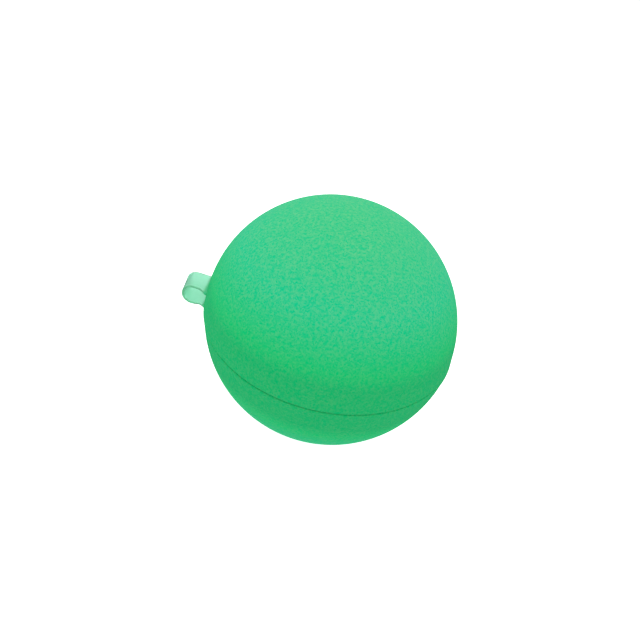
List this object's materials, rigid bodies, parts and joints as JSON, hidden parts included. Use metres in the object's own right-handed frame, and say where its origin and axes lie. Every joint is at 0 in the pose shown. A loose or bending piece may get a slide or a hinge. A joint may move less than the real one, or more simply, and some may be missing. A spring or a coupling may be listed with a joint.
{
  "type": "water play ball",
  "caption": "Soft refillable water play ball: round half shells joined by a folded hinge strap, held shut by small magnets sealed in thick rims.",
  "frame": {"origin": "the shut ball's centre, on the seam plane", "axes": "+Z to the middle of the upper half, -X to the hinge strap, +Y along the hinge line"},
  "size_m": [0.0669, 0.0604, 0.0588],
  "materials": {
    "shell_silicone": "soft matte moulded silicone, opaque green",
    "strap_silicone": "soft matte moulded silicone, pale translucent mint",
    "plug_silicone": "cured silicone sealant, slightly glossier than the shell",
    "nickel_plate": "bright nickel plating on a sintered magnet"
  },
  "bodies": {
    "lower": {"lower_shell": "shell_silicone", "hinge_strap": "strap_silicone", "lower_magnet_1": "nickel_plate", "lower_magnet_plug_1": "plug_silicone", "lower_magnet_2": "nickel_plate", "lower_magnet_plug_2": "plug_silicone", "lower_magnet_3": "nickel_plate", "lower_magnet_plug_3": "plug_silicone", "lower_magnet_4": "nickel_plate", "lower_magnet_plug_4": "plug_silicone", "lower_magnet_5": "nickel_plate", "lower_magnet_plug_5": "plug_silicone", "lower_magnet_6": "nickel_plate", "lower_magnet_plug_6": "plug_silicone"},
    "upper": {"upper_shell": "shell_silicone", "upper_magnet_1": "nickel_plate", "upper_magnet_plug_1": "plug_silicone", "upper_magnet_2": "nickel_plate", "upper_magnet_plug_2": "plug_silicone", "upper_magnet_3": "nickel_plate", "upper_magnet_plug_3": "plug_silicone", "upper_magnet_4": "nickel_plate", "upper_magnet_plug_4": "plug_silicone", "upper_magnet_5": "nickel_plate", "upper_magnet_plug_5": "plug_silicone", "upper_magnet_6": "nickel_plate", "upper_magnet_plug_6": "plug_silicone"}
  },
  "joints": [
    {"name": "hinge", "type": "hinge", "parent": "lower", "child": "upper", "pos_m": [-0.0369, 0, 0], "axis": [0, -1, 0], "range_deg": [0, 178], "deforming": ["hinge_strap"]}
  ]
}
